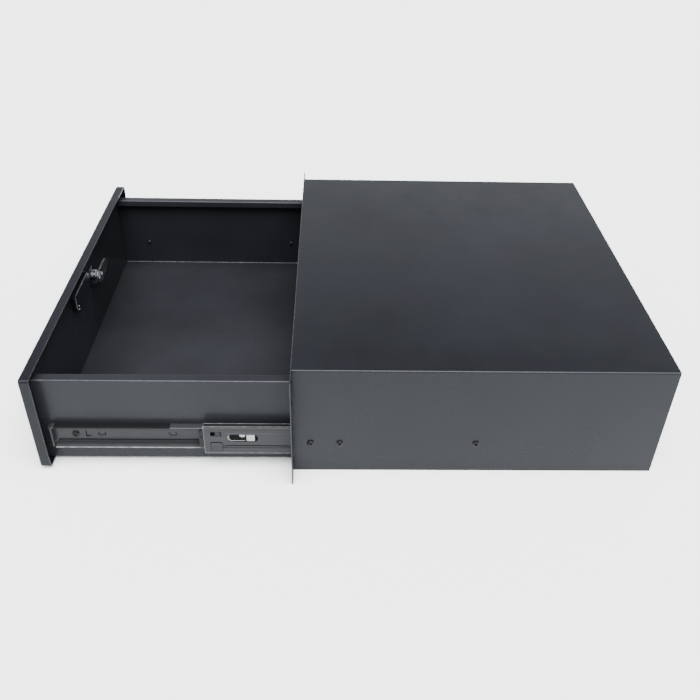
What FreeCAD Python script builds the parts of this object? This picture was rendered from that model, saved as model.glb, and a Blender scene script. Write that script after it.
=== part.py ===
import FreeCAD, Part
import math
import os
import re
import Sketcher

# A three-unit rack drawer. A folded steel case is screwed to the rack by its ears. Two
# full-extension ball slides carry a folded tray with a shallow pan as its front panel.
# Frame: X across, Y into the rack, Z up, in millimetres. X = 0 is the middle, Y = 0 the front
# face of the ears and Z = 0 the underside of the case. The drawer stands partly open.

os.makedirs("parts", exist_ok=True)
doc = FreeCAD.newDocument("rack_drawer")

SIZES = {
    # case: one folded cover with ears, a bottom plate and a back plate
    "ear_span": 482.6,
    "ear_width": 21.3,
    "case_height": 132.5,
    "case_depth": 381,
    "case_sheet": 1.2,
    "bend_radius": 2,
    "slot_inset": 8.75,
    "slot_rise": 88.9,
    "slot_first": 21.8,
    "slot_width": 7,
    "slot_length": 10.5,
    "catch_lip": 18.5,
    "case_flange": 10,
    # at rest: the middle rails stand out of the case, and the drawer further out of them
    "middle_out": 93,
    "drawer_reach": 159,
    # front panel: a pan, open at the back
    "panel_overhang": 0.6,
    "panel_rise": 10,
    "panel_bottom": 2.6,
    "panel_depth": 10.8,
    "panel_sheet": 1.2,
    "panel_corner": 3.5,
    "panel_bend": 1.4,
    "panel_gap": 0.5,
    # tray
    "tray_overrun": 2.1,
    "lip_clearance": 6.4,
    "pan_clearance": 0.1,
    "tray_sheet": 1.2,
    "tray_bend": 1.8,
    "rim_width": 11.4,
    "rim_drop": 8,
    "back_flange": 12,
    # ball slides, one on each side
    "slide_thickness": 12.7,
    "slide_height": 45,
    "slide_middle": 38.5,
    "rail_sheet": 1.2,
    "rail_setback": 5,
    "rail_end_gap": 26,
    "middle_rail_lead": 3,
    "middle_rail_gap": 2,
    "drawer_rail_lead": 2,
    "drawer_rail_gap": 10,
    "lip_angle": 35,
    "middle_lip_angle": 20,
    "ball_size": 3.2,
    "race_clearance": 0.2,
    "web_gap": 0.3,
    "race_step": 1.8,
    "row_offset": 1.6,
    # ball cages
    "cage_sheet": 0.5,
    "cage_margin": 0.9,
    "cage_clearance": 5,
    "ball_pitch": 40,
    # features of the middle rail, measured from its front end
    "window_place": 12.5,
    "window_length": 11,
    "window_height": 6,
    "window_rise": 8,
    "latch_slot_place": 40,
    "latch_slot_length": 32,
    "latch_slot_height": 10,
    "latch_slot_rise": 2.5,
    "pad_length": 12,
    "pad_height": 11,
    "pad_drop": 8,
    "press_depth": 0.4,
    "bead_height": 3,
    # cuts in the web of the drawer rail, measured from its front end
    "hook_place": 31,
    "hook_length": 5,
    "hook_height": 8,
    "hook_width": 1.8,
    "tongue_place": 48,
    "tongue_second": 121,
    "tongue_length": 8,
    "tongue_height": 5,
    "tongue_cut": 1.2,
    "guide_slot_place": 141,
    "guide_slot_length": 18,
    "guide_slot_height": 1.8,
    "guide_slot_rise": 8.5,
    # nylon and rubber pieces in the slides
    "stop_height": 22.6,
    "stop_length": 5,
    "stop_reach": 9,
    "stop_corner": 1.6,
    "latch_rim": 3,
    "latch_plate": 1.5,
    "bumper_height": 18,
    "bumper_length": 6,
    "bumper_setback": 2,
    "bumper_corner": 1.5,
    # screws of the slides
    "screw_size": 4,
    "screw_clearance": 0.05,
    "screw_head": 7.5,
    "screw_head_height": 2.2,
    "case_screw_first": 18.8,
    "case_screw_second": 30,
    "case_screw_third": 141.2,
    "tray_screw_first": 21,
    "tray_screw_second": 205,
    "tray_screw_last": 16,
    "tray_screw_tip": 2.5,
    # cam lock
    "lock_place": -33,
    "lock_drop": 34.6,
    "lock_body": 16,
    "lock_flats": 13.5,
    "catch_gap": 0.5,
    "bezel_size": 20,
    "bezel_height": 2.5,
    "plug_size": 11,
    "plug_clearance": 0.06,
    "plug_tail": 6,
    "key_slot_width": 1.8,
    "key_slot_height": 7.5,
    "key_slot_depth": 8,
    "nut_flats": 22,
    "nut_height": 3,
    "cam_length": 37,
    "cam_width": 15,
    "cam_sheet": 2,
    "cam_gap": 0.3,
    "cam_nut_flats": 10,
    "cam_nut_height": 3.6,
    # finger pull let into the front
    "pull_place": 19,
    "pull_drop": 24.6,
    "pull_width": 58,
    "pull_height": 22,
    "pull_depth": 9.3,
    "pull_sheet": 1,
    "pull_rim": 4,
    "pull_corner": 5,
    "pull_clearance": 0.2,
}

sheet = doc.addObject("Spreadsheet::Sheet", "Sizes")
for row, (alias, value) in enumerate(SIZES.items(), start=1):
    sheet.set(f"A{row}", alias)
    sheet.set(f"B{row}", str(value))
    sheet.setAlias(f"B{row}", alias)
reader = doc.addObject("App::FeaturePython", "Reader")
doc.recompute()

# Lines that several pieces share, as formulas of the sizes above.
CASE_SIDE = "(ear_span / 2 - ear_width)"
WALL = f"({CASE_SIDE} - case_sheet)"
LIP_BOTTOM = "(case_height - catch_lip)"
TRAY_TOP = f"({LIP_BOTTOM} - lip_clearance)"
PANEL_TOP = f"({TRAY_TOP} + panel_rise)"
PANEL_SIDE = f"({CASE_SIDE} + panel_overhang)"
PANEL_BACK = "(-panel_gap - middle_out - drawer_reach)"
PANEL_FRONT = f"({PANEL_BACK} - panel_depth)"
FRONT_WALL = f"({PANEL_FRONT} + panel_sheet)"
TRAY_FRONT = f"({FRONT_WALL} + tray_sheet)"
TRAY_BOTTOM = "(panel_bottom + panel_sheet + pan_clearance)"
TRAY_SIDE = f"({WALL} - slide_thickness)"

# Lengths along the slides. Each rail fits in front of the bumper when the drawer is shut, and
# each half of a slide runs out by half the length of the rail on the case.
CASE_RAIL_LENGTH = "(case_depth - rail_setback - rail_end_gap)"
CASE_RAIL_BACK = f"(rail_setback + {CASE_RAIL_LENGTH})"
TRAVEL = f"({CASE_RAIL_LENGTH} / 2)"
ROOM = f"({CASE_RAIL_LENGTH} - bumper_setback - bumper_length)"
MIDDLE_RAIL_LENGTH = f"({ROOM} + middle_rail_lead - middle_rail_gap)"
MIDDLE_FRONT = "(rail_setback - middle_rail_lead - middle_out)"
DRAWER_RAIL_LENGTH = f"({ROOM} - drawer_rail_lead - drawer_rail_gap)"
DRAWER_RAIL_FRONT = "(rail_setback + drawer_rail_lead - middle_out - drawer_reach)"
DRAWER_RAIL_BACK = f"({DRAWER_RAIL_FRONT} + {DRAWER_RAIL_LENGTH})"
TRAY_LENGTH = f"({DRAWER_RAIL_BACK} + tray_overrun - {TRAY_FRONT})"
TRAY_BACK = f"({TRAY_FRONT} + {TRAY_LENGTH})"

# A cage runs half as far as the rail inside it. With the slide drawn right out it lies between
# the ends of both rails, and the inner one also behind the latch.
OUTER_CAGE_START = f"(rail_setback + cage_clearance + ({TRAVEL} - middle_out) / 2)"
OUTER_CAGE_LENGTH = f"({MIDDLE_RAIL_LENGTH} - middle_rail_lead - {TRAVEL} - 2 * cage_clearance)"
LATCH_END = "(latch_slot_place + latch_slot_length / 2 + latch_rim)"
INNER_CAGE_START = f"({MIDDLE_FRONT} + {LATCH_END} + cage_clearance + ({TRAVEL} - drawer_reach) / 2)"
INNER_CAGE_LENGTH = (f"({DRAWER_RAIL_LENGTH} + middle_rail_lead + drawer_rail_lead - {TRAVEL}"
                     f" - {LATCH_END} - 2 * cage_clearance)")

# The races of a slide. Depth runs from the case wall to the tray, height from the slide's middle.
# A ball runs between two arcs of the sheet: race_in on its face, race_out behind it.
RACE_IN = "(ball_size / 2 + race_clearance)"
RACE_OUT = f"({RACE_IN} + rail_sheet)"
OUTER_CAGE_WEB = "(rail_sheet + web_gap)"
MIDDLE_WEB = f"({OUTER_CAGE_WEB} + cage_sheet + web_gap)"
INNER_CAGE_WEB = f"({MIDDLE_WEB} + rail_sheet + web_gap)"
DRAWER_WEB = "(slide_thickness - rail_sheet)"
OUTER_ROW = f"({MIDDLE_WEB} + rail_sheet + race_step)"
OUTER_ROW_HEIGHT = f"(slide_height / 2 - {RACE_OUT})"
INNER_ROW = f"({OUTER_ROW} + row_offset)"
ROW_DROP = f"sqrt(({RACE_IN} + {RACE_OUT}) ^ 2 - row_offset ^ 2)"
INNER_ROW_HEIGHT = f"({OUTER_ROW_HEIGHT} - {ROW_DROP})"
ROW_LEAN = f"(row_offset / ({RACE_IN} + {RACE_OUT}))"
ROW_FALL = f"({ROW_DROP} / ({RACE_IN} + {RACE_OUT}))"

CASE_SCREWS = ["case_screw_first", "case_screw_first + case_screw_second",
               "case_screw_first + case_screw_second + case_screw_third"]
TRAY_SCREWS = [f"{DRAWER_RAIL_FRONT} + tray_screw_first",
               f"{DRAWER_RAIL_FRONT} + tray_screw_first + tray_screw_second",
               f"{DRAWER_RAIL_BACK} - tray_screw_last"]
LOCK_HEIGHT = f"({PANEL_TOP} - lock_drop)"
LOCK_LENGTH = "(panel_depth + panel_gap + case_sheet + catch_gap - cam_gap)"
LOCK_BACK = f"({PANEL_FRONT} + {LOCK_LENGTH})"
PULL_HEIGHT = f"({PANEL_TOP} - pull_drop)"

# Small round pieces that repeat, and the holes for them, have this many sides.
SIDES = 8

parts = {}


def linked(formula):
    """The formula with the sheet's name in front of each alias."""
    def link(word):
        return "Sizes." + word.group() if word.group() in SIZES else word.group()
    return re.sub(r"[A-Za-z_]+", link, formula)


def number(formula):
    return float(reader.evalExpression(linked(formula)))


def new_body(label):
    body = doc.addObject("PartDesign::Body", label)
    body.Label = label
    parts[label] = body
    return body


def sketch_on(body, plane, offset="0"):
    """A sketch on one of the body's origin planes, moved along the plane's normal."""
    sketch = body.newObject("Sketcher::SketchObject", body.Label + "_sketch")
    base = [item for item in body.Origin.OriginFeatures if item.Role == plane][0]
    sketch.AttachmentSupport = [(base, "")]
    sketch.MapMode = "FlatFace"
    sketch.setExpression(".AttachmentOffset.Base.z", linked(offset))
    return sketch


def front_sketch(body, depth="0"):
    """A sketch facing the front, in X and Z, at the given Y."""
    return sketch_on(body, "XZ_Plane", f"-({depth})")


def side_sketch(body, across="0"):
    """A sketch facing the side, in Y and Z, at the given X."""
    return sketch_on(body, "YZ_Plane", across)


def top_sketch(body, height="0"):
    """A sketch facing up, in X and Y, at the given Z."""
    return sketch_on(body, "XY_Plane", height)


def hold(sketch, kind, where, formula):
    """Ties one coordinate, radius or distance of the sketch to a formula."""
    index = sketch.addConstraint(Sketcher.Constraint(kind, *where, number(formula)))
    sketch.setExpression(f"Constraints[{index}]", linked(formula))


def pin(sketch, geometry, point, x, y):
    hold(sketch, "DistanceX", (-1, 1, geometry, point), x)
    hold(sketch, "DistanceY", (-1, 1, geometry, point), y)


def outline(sketch, corners):
    """A closed loop. A corner is (x, y), or (x, y, radius, turn) where an arc that turns left
    or right runs on to the next corner."""
    places = [FreeCAD.Vector(number(c[0]), number(c[1]), 0) for c in corners]
    ends = []
    for index, corner in enumerate(corners):
        start = places[index]
        end = places[(index + 1) % len(places)]
        if len(corner) == 2:
            ends.append((sketch.addGeometry(Part.LineSegment(start, end)), 1, 2))
            continue
        radius = number(corner[2])
        side = 1 if corner[3] == "left" else -1
        chord = end - start
        rise = math.sqrt(max(radius ** 2 - (chord.Length / 2) ** 2, 0))
        normal = FreeCAD.Vector(-chord.y, chord.x, 0).normalize()
        centre = (start + end) / 2 + normal * side * rise
        first, last = (start, end) if side > 0 else (end, start)
        angles = [math.atan2(p.y - centre.y, p.x - centre.x) for p in (first, last)]
        circle = Part.Circle(centre, FreeCAD.Vector(0, 0, 1), radius)
        arc = sketch.addGeometry(Part.ArcOfCircle(circle, angles[0], angles[1]))
        ends.append((arc, 1, 2) if side > 0 else (arc, 2, 1))
    for index, corner in enumerate(corners):
        here = ends[index]
        before = ends[index - 1]
        meet = (before[0], before[2], here[0], here[1])
        sketch.addConstraint(Sketcher.Constraint("Coincident", *meet))
        pin(sketch, here[0], here[1], corner[0], corner[1])
        if len(corner) == 4:
            hold(sketch, "Radius", (here[0],), corner[2])


def rectangle(sketch, left, bottom, right, top):
    outline(sketch, [(left, bottom), (right, bottom), (right, top), (left, top)])


def rounded_rectangle(sketch, left, bottom, right, top, radius):
    outline(sketch, [
        (f"{left} + {radius}", bottom), (f"{right} - {radius}", bottom, radius, "left"),
        (right, f"{bottom} + {radius}"), (right, f"{top} - {radius}", radius, "left"),
        (f"{right} - {radius}", top), (f"{left} + {radius}", top, radius, "left"),
        (left, f"{top} - {radius}"), (left, f"{bottom} + {radius}", radius, "left"),
    ])


def circle(sketch, x, y, radius):
    index = sketch.addGeometry(Part.Circle(FreeCAD.Vector(number(x), number(y), 0),
                                           FreeCAD.Vector(0, 0, 1), number(radius)))
    pin(sketch, index, 3, x, y)
    hold(sketch, "Radius", (index,), radius)


def slot(sketch, x, y, length, width):
    """A slot with round ends, centred on (x, y), long in the sketch's first direction."""
    centres = [f"{x} - ({length} - ({width})) / 2", f"{x} + ({length} - ({width})) / 2"]
    radius = number(width) / 2
    up = FreeCAD.Vector(0, radius, 0)
    left, right = [FreeCAD.Vector(number(c), number(y), 0) for c in centres]
    axis = FreeCAD.Vector(0, 0, 1)
    quarter = math.pi / 2
    rings = [Part.Circle(centre, axis, radius) for centre in (left, right)]
    arcs = [sketch.addGeometry(Part.ArcOfCircle(rings[0], quarter, 3 * quarter)),
            sketch.addGeometry(Part.ArcOfCircle(rings[1], -quarter, quarter))]
    low = sketch.addGeometry(Part.LineSegment(left - up, right - up))
    high = sketch.addGeometry(Part.LineSegment(right + up, left + up))
    for line, start, end in ((low, (arcs[0], 2), (arcs[1], 1)), (high, (arcs[1], 2), (arcs[0], 1))):
        sketch.addConstraint(Sketcher.Constraint("Tangent", start[0], start[1], line, 1))
        sketch.addConstraint(Sketcher.Constraint("Tangent", end[0], end[1], line, 2))
    sketch.addConstraint(Sketcher.Constraint("Equal", arcs[0], arcs[1]))
    for arc, centre in zip(arcs, centres):
        pin(sketch, arc, 3, centre, y)
    hold(sketch, "Radius", (arcs[0],), f"({width}) / 2")


def polygon(sketch, x, y, radius, sides):
    """A regular polygon with its corners at that radius, standing on a flat side."""
    turns = [f"{360 * (step + 0.5) / sides}" for step in range(sides)]
    outline(sketch, [(f"{x} + {radius} * sin({turn})", f"{y} - {radius} * cos({turn})")
                     for turn in turns])


def hexagon(sketch, x, y, flats):
    polygon(sketch, x, y, f"({flats} / 2 / cos(30))", 6)


def pad(body, sketch, length, along_normal=True):
    feature = body.newObject("PartDesign::Pad", body.Label + "_pad")
    feature.Profile = sketch
    feature.Reversed = not along_normal
    feature.setExpression("Length", linked(length))
    return feature


def pocket(body, sketch, depth, along_normal=False):
    feature = body.newObject("PartDesign::Pocket", body.Label + "_pocket")
    feature.Profile = sketch
    feature.Reversed = along_normal
    feature.setExpression("Length", linked(depth))
    return feature


def cut_through(body, sketch):
    """Cuts the sketch's outlines out of everything that lies in front of and behind it."""
    feature = body.newObject("PartDesign::Pocket", body.Label + "_cut")
    feature.Profile = sketch
    feature.Type = "ThroughAll"
    feature.SideType = "Symmetric"
    return feature


def screw_holes(body, places):
    """Holes through the side walls for the screws of a slide."""
    holes = side_sketch(body)
    for place in places:
        polygon(holes, place, "slide_middle", "(screw_size / 2 + screw_clearance)", SIDES)
    cut_through(body, holes)


def front_pad(body, depth, length):
    """Starts a sketch at Y = depth that is padded on to Y = depth + length."""
    sketch = front_sketch(body, depth)
    pad(body, sketch, length, along_normal=False)
    return sketch


def left_twin(label, right):
    """The same piece on the left-hand side."""
    twin = doc.addObject("Part::Mirroring", label)
    twin.Label = label
    twin.Source = right
    twin.Normal = FreeCAD.Vector(1, 0, 0)
    parts[label] = twin


def across(depth):
    """X of a place in the right-hand slide, from its depth behind the case wall."""
    return f"({WALL} - {depth})"


def above(height):
    """Z of a place in a slide, from its height above the slide's middle."""
    return f"(slide_middle + {height})"


# ---------------------------------------------------------------- case

def case_cover():
    """Top and sides folded from one sheet, with an ear at each side and a catch lip on top."""
    body = new_body("case_cover")
    half = CASE_SIDE
    inner_bend = "(bend_radius - case_sheet)"
    shell = front_pad(body, "0", "case_depth")
    outline(shell, [
        (f"-{half}", "0"), (f"-{WALL}", "0"),
        (f"-{WALL}", "case_height - bend_radius", inner_bend, "right"),
        (f"-{half} + bend_radius", "case_height - case_sheet"),
        (f"{half} - bend_radius", "case_height - case_sheet", inner_bend, "right"),
        (WALL, "case_height - bend_radius"), (WALL, "0"), (half, "0"),
        (half, "case_height - bend_radius", "bend_radius", "left"),
        (f"{half} - bend_radius", "case_height"),
        (f"-{half} + bend_radius", "case_height", "bend_radius", "left"),
        (f"-{half}", "case_height - bend_radius"),
    ])
    lip = front_pad(body, "0", "case_sheet")
    rectangle(lip, f"-{half} + bend_radius", LIP_BOTTOM,
              f"{half} - bend_radius", "case_height - case_sheet / 2")
    for side in ("-1", "1"):
        ear = front_pad(body, "0", "case_sheet")
        rectangle(ear, f"{side} * {WALL}", "0", f"{side} * ear_span / 2", "case_height")
        for place in ("slot_first", "slot_first + slot_rise"):
            slot(ear, f"{side} * (ear_span / 2 - slot_inset)", place, "slot_length", "slot_width")
    screw_holes(body, CASE_SCREWS)


def case_bottom():
    """Floor of the case, with a low flange inside each side."""
    body = new_body("case_bottom")
    inner_bend = "(bend_radius - case_sheet)"
    flange = f"{WALL} - case_sheet"
    plate = front_pad(body, "0", "case_depth - case_sheet")
    outline(plate, [
        (f"-{WALL} + bend_radius", "0"), (f"{WALL} - bend_radius", "0", "bend_radius", "left"),
        (WALL, "bend_radius"), (WALL, "case_flange"), (flange, "case_flange"),
        (flange, "bend_radius", inner_bend, "right"), (f"{WALL} - bend_radius", "case_sheet"),
        (f"-{WALL} + bend_radius", "case_sheet", inner_bend, "right"),
        (f"-({flange})", "bend_radius"), (f"-({flange})", "case_flange"),
        (f"-{WALL}", "case_flange"), (f"-{WALL}", "bend_radius", "bend_radius", "left"),
    ])


def case_back():
    """Back plate of the case, with a flange under the top and one inside each side."""
    body = new_body("case_back")
    back = "(case_depth - case_sheet)"
    side = f"({WALL} - bend_radius + case_sheet)"
    bottom = "case_flange + case_sheet"
    top = "(case_height - bend_radius)"
    plate = front_pad(body, back, "case_sheet")
    rectangle(plate, f"-{WALL}", "0", WALL, top)
    for sign in ("-1", "1"):
        flange = front_pad(body, f"{back} - case_flange", "case_flange")
        rectangle(flange, f"{sign} * {WALL}", bottom, f"{sign} * ({WALL} - case_sheet)", top)
    flange = front_pad(body, f"{back} - case_flange", "case_flange")
    rectangle(flange, f"-{side} + case_sheet", f"{top} - case_sheet", f"{side} - case_sheet", top)


# ---------------------------------------------------------------- slides

def case_rail():
    """Fixed channel on the case wall. Each flange curls over the outer row of balls."""
    body = new_body("case_rail_right")
    lip_x = f"{OUTER_ROW} + {RACE_OUT} * cos(lip_angle)"
    lip_in_x = f"{OUTER_ROW} + {RACE_IN} * cos(lip_angle)"
    lip_z = f"({OUTER_ROW_HEIGHT} + {RACE_OUT} * sin(lip_angle))"
    lip_in_z = f"({OUTER_ROW_HEIGHT} + {RACE_IN} * sin(lip_angle))"
    top = "slide_height / 2"
    under = "(slide_height / 2 - rail_sheet)"
    profile = front_pad(body, "rail_setback", CASE_RAIL_LENGTH)
    outline(profile, [
        (across("0"), above(f"-{top}")), (across("0"), above(top)),
        (across(OUTER_ROW), above(top), RACE_OUT, "left"),
        (across(f"({lip_x})"), above(lip_z)),
        (across(f"({lip_in_x})"), above(lip_in_z), RACE_IN, "right"),
        (across(OUTER_ROW), above(under)), (across("rail_sheet"), above(under)),
        (across("rail_sheet"), above(f"-{under}")),
        (across(OUTER_ROW), above(f"-{under}"), RACE_IN, "right"),
        (across(f"({lip_in_x})"), above(f"-{lip_in_z}")),
        (across(f"({lip_x})"), above(f"-{lip_z}"), RACE_OUT, "left"),
        (across(OUTER_ROW), above(f"-{top}")),
    ])
    screw_holes(body, CASE_SCREWS)
    left_twin("case_rail_left", body)


def middle_rail():
    """Sliding channel. Its flange bends under the outer balls and over the inner ones."""
    body = new_body("middle_rail_right")
    web = MIDDLE_WEB
    web_in = f"({MIDDLE_WEB} + rail_sheet)"
    top = f"({OUTER_ROW_HEIGHT} - {RACE_IN} * sin(lip_angle))"
    start = f"({OUTER_ROW} - {RACE_IN} * cos(lip_angle))"
    turn = f"({OUTER_ROW} + {RACE_IN} * {ROW_LEAN})"
    turn_z = f"({OUTER_ROW_HEIGHT} - {RACE_IN} * {ROW_FALL})"
    turn_in = f"({INNER_ROW} - {RACE_IN} * {ROW_LEAN})"
    turn_in_z = f"({INNER_ROW_HEIGHT} + {RACE_IN} * {ROW_FALL})"
    lip = f"({INNER_ROW} + {RACE_OUT} * cos(middle_lip_angle))"
    lip_z = f"({INNER_ROW_HEIGHT} + {RACE_OUT} * sin(middle_lip_angle))"
    lip_in = f"({INNER_ROW} + {RACE_IN} * cos(middle_lip_angle))"
    lip_in_z = f"({INNER_ROW_HEIGHT} + {RACE_IN} * sin(middle_lip_angle))"
    root_z = f"({OUTER_ROW_HEIGHT} - sqrt({RACE_OUT} ^ 2 - race_step ^ 2))"
    profile = front_pad(body, MIDDLE_FRONT, MIDDLE_RAIL_LENGTH)
    outline(profile, [
        (across(web), above(f"-{top}")), (across(web), above(top)),
        (across(start), above(top), RACE_IN, "right"),
        (across(turn), above(turn_z), RACE_OUT, "left"),
        (across(lip), above(lip_z)),
        (across(lip_in), above(lip_in_z), RACE_IN, "right"),
        (across(turn_in), above(turn_in_z), RACE_OUT, "left"),
        (across(web_in), above(root_z)), (across(web_in), above(f"-{root_z}"), RACE_OUT, "left"),
        (across(turn_in), above(f"-{turn_in_z}"), RACE_IN, "right"),
        (across(lip_in), above(f"-{lip_in_z}")),
        (across(lip), above(f"-{lip_z}"), RACE_OUT, "left"),
        (across(turn), above(f"-{turn_z}"), RACE_IN, "right"),
        (across(start), above(f"-{top}")),
    ])
    cuts = side_sketch(body, across(web))
    window = f"{MIDDLE_FRONT} + window_place"
    rectangle(cuts, f"{window} - window_length / 2", above("window_rise - window_height / 2"),
              f"{window} + window_length / 2", above("window_rise + window_height / 2"))
    slot(cuts, f"{MIDDLE_FRONT} + latch_slot_place", above("latch_slot_rise"),
         "latch_slot_length", "latch_slot_height")
    cut_through(body, cuts)
    pressed = side_sketch(body, across(web))
    rectangle(pressed, f"{window} - pad_length / 2", above("-pad_drop - pad_height / 2"),
              f"{window} + pad_length / 2", above("-pad_drop + pad_height / 2"))
    rectangle(pressed, f"{window} + pad_length / 2 + bead_height",
              above("-pad_drop - bead_height / 2"),
              f"{MIDDLE_FRONT} + {MIDDLE_RAIL_LENGTH}", above("-pad_drop + bead_height / 2"))
    pocket(body, pressed, "press_depth")
    left_twin("middle_rail_left", body)


def drawer_rail():
    """Channel on the tray wall. Its flanges carry the inner row of balls on their outside."""
    body = new_body("drawer_rail_right")
    lip = f"({INNER_ROW} - {RACE_OUT} * cos(lip_angle))"
    lip_z = f"({INNER_ROW_HEIGHT} - {RACE_OUT} * sin(lip_angle))"
    lip_in = f"({INNER_ROW} - {RACE_IN} * cos(lip_angle))"
    lip_in_z = f"({INNER_ROW_HEIGHT} - {RACE_IN} * sin(lip_angle))"
    top = f"({INNER_ROW_HEIGHT} - {RACE_IN})"
    under = f"({INNER_ROW_HEIGHT} - {RACE_OUT})"
    profile = front_pad(body, DRAWER_RAIL_FRONT, DRAWER_RAIL_LENGTH)
    outline(profile, [
        (across("slide_thickness"), above(f"-{top}")),
        (across(INNER_ROW), above(f"-{top}"), RACE_IN, "right"),
        (across(lip_in), above(f"-{lip_in_z}")),
        (across(lip), above(f"-{lip_z}"), RACE_OUT, "left"),
        (across(INNER_ROW), above(f"-{under}")), (across(DRAWER_WEB), above(f"-{under}")),
        (across(DRAWER_WEB), above(under)), (across(INNER_ROW), above(under), RACE_OUT, "left"),
        (across(lip), above(lip_z)),
        (across(lip_in), above(lip_in_z), RACE_IN, "right"),
        (across(INNER_ROW), above(top)), (across("slide_thickness"), above(top)),
    ])
    screw_holes(body, TRAY_SCREWS)
    cuts = side_sketch(body)
    hook = f"{DRAWER_RAIL_FRONT} + hook_place"
    outline(cuts, [
        (hook, above("-hook_height / 2")),
        (f"{hook} + hook_length", above("-hook_height / 2")),
        (f"{hook} + hook_length", above("hook_width - hook_height / 2")),
        (f"{hook} + hook_width", above("hook_width - hook_height / 2")),
        (f"{hook} + hook_width", above("hook_height / 2")), (hook, above("hook_height / 2")),
    ])
    for place in ("tongue_place", "tongue_second"):
        tongue_cut(cuts, f"{DRAWER_RAIL_FRONT} + {place}")
    guide = f"{DRAWER_RAIL_FRONT} + guide_slot_place"
    rectangle(cuts, f"{guide} - guide_slot_length / 2",
              above("guide_slot_rise - guide_slot_height / 2"),
              f"{guide} + guide_slot_length / 2", above("guide_slot_rise + guide_slot_height / 2"))
    cut_through(body, cuts)
    left_twin("drawer_rail_left", body)


def tongue_cut(sketch, middle):
    """A narrow cut in the shape of a U that frees a small tongue of the web."""
    half = "tongue_length / 2"
    inner = "(tongue_length / 2 - tongue_cut)"
    high = above("tongue_height / 2")
    low = above("-tongue_height / 2")
    floor = above("tongue_cut - tongue_height / 2")
    outline(sketch, [
        (f"{middle} - {half}", high), (f"{middle} - {half}", floor),
        (f"{middle} - {inner}", low), (f"{middle} + {inner}", low),
        (f"{middle} + {half}", floor), (f"{middle} + {half}", high),
        (f"{middle} + {inner}", high), (f"{middle} + {inner}", floor),
        (f"{middle} - {inner}", floor), (f"{middle} - {inner}", high),
    ])


def few_sided_ball():
    """A ball with flat faces: what three prisms along the axes have in common."""
    prisms = []
    for axis in (FreeCAD.Vector(1, 0, 0), FreeCAD.Vector(0, 1, 0), FreeCAD.Vector(0, 0, 1)):
        prism = doc.addObject("Part::Prism", "ball_prism")
        prism.Polygon = SIDES
        prism.Placement.Rotation = FreeCAD.Rotation(FreeCAD.Vector(0, 0, 1), axis)
        prism.setExpression("Circumradius", linked("ball_size / 2"))
        prism.setExpression("Height", linked("ball_size"))
        for letter, share in zip("xyz", axis):
            prism.setExpression(f".Placement.Base.{letter}", linked(f"-{share} * ball_size / 2"))
        prisms.append(prism)
    ball = doc.addObject("Part::MultiCommon", "ball")
    ball.Shapes = prisms
    return ball


def ball_cage(name, web, row, row_height, start, length, ball):
    """A thin channel that spaces the two rows of balls of one race, and its balls."""
    body = new_body(f"{name}_cage_right")
    edge = f"({row} + ball_size / 2 + cage_margin)"
    out = f"({row_height} + cage_sheet / 2)"
    inside = f"({row_height} - cage_sheet / 2)"
    face = f"({web} + cage_sheet)"
    profile = front_pad(body, start, length)
    outline(profile, [
        (across(web), above(f"-{out}")), (across(web), above(out)), (across(edge), above(out)),
        (across(edge), above(inside)), (across(face), above(inside)),
        (across(face), above(f"-{inside}")), (across(edge), above(f"-{inside}")),
        (across(edge), above(f"-{out}")),
    ])
    count = int((number(length) - number("ball_size")) / number("ball_pitch")) + 1
    places = [f"{start} + {length} / 2 + ({step} - {count - 1} / 2) * ball_pitch"
              for step in range(count)]
    windows = top_sketch(body, above("0"))
    for place in places:
        hexagon(windows, across(row), place, "(ball_size + 2 * race_clearance)")
    cut_through(body, windows)
    copies = []
    for place in places:
        for sign in ("1", "-1"):
            copy = doc.addObject("App::Link", f"{name}_ball")
            copy.LinkedObject = ball
            copy.setExpression(".Placement.Base.x", linked(across(row)))
            copy.setExpression(".Placement.Base.y", linked(place))
            copy.setExpression(".Placement.Base.z", linked(above(f"{sign} * {row_height}")))
            copies.append(copy)
    group = doc.addObject("Part::Compound", f"{name}_balls_right")
    group.Label = f"{name}_balls_right"
    group.Links = copies
    parts[group.Label] = group
    left_twin(f"{name}_cage_left", body)
    left_twin(f"{name}_balls_left", group)


def slide_screws(label, places, seat, length):
    """Pan-head screws along one wall on both sides of the drawer."""
    body = new_body(label)
    for sign in ("1", "-1"):
        outward = sign == "1"
        heads = side_sketch(body, f"{sign} * {seat}")
        shanks = side_sketch(body, f"{sign} * {seat}")
        for place in places:
            polygon(heads, place, "slide_middle", "(screw_head / 2)", SIDES)
            polygon(shanks, place, "slide_middle", "(screw_size / 2)", SIDES)
        pad(body, heads, "screw_head_height", along_normal=outward)
        pad(body, shanks, length, along_normal=not outward)


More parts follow.
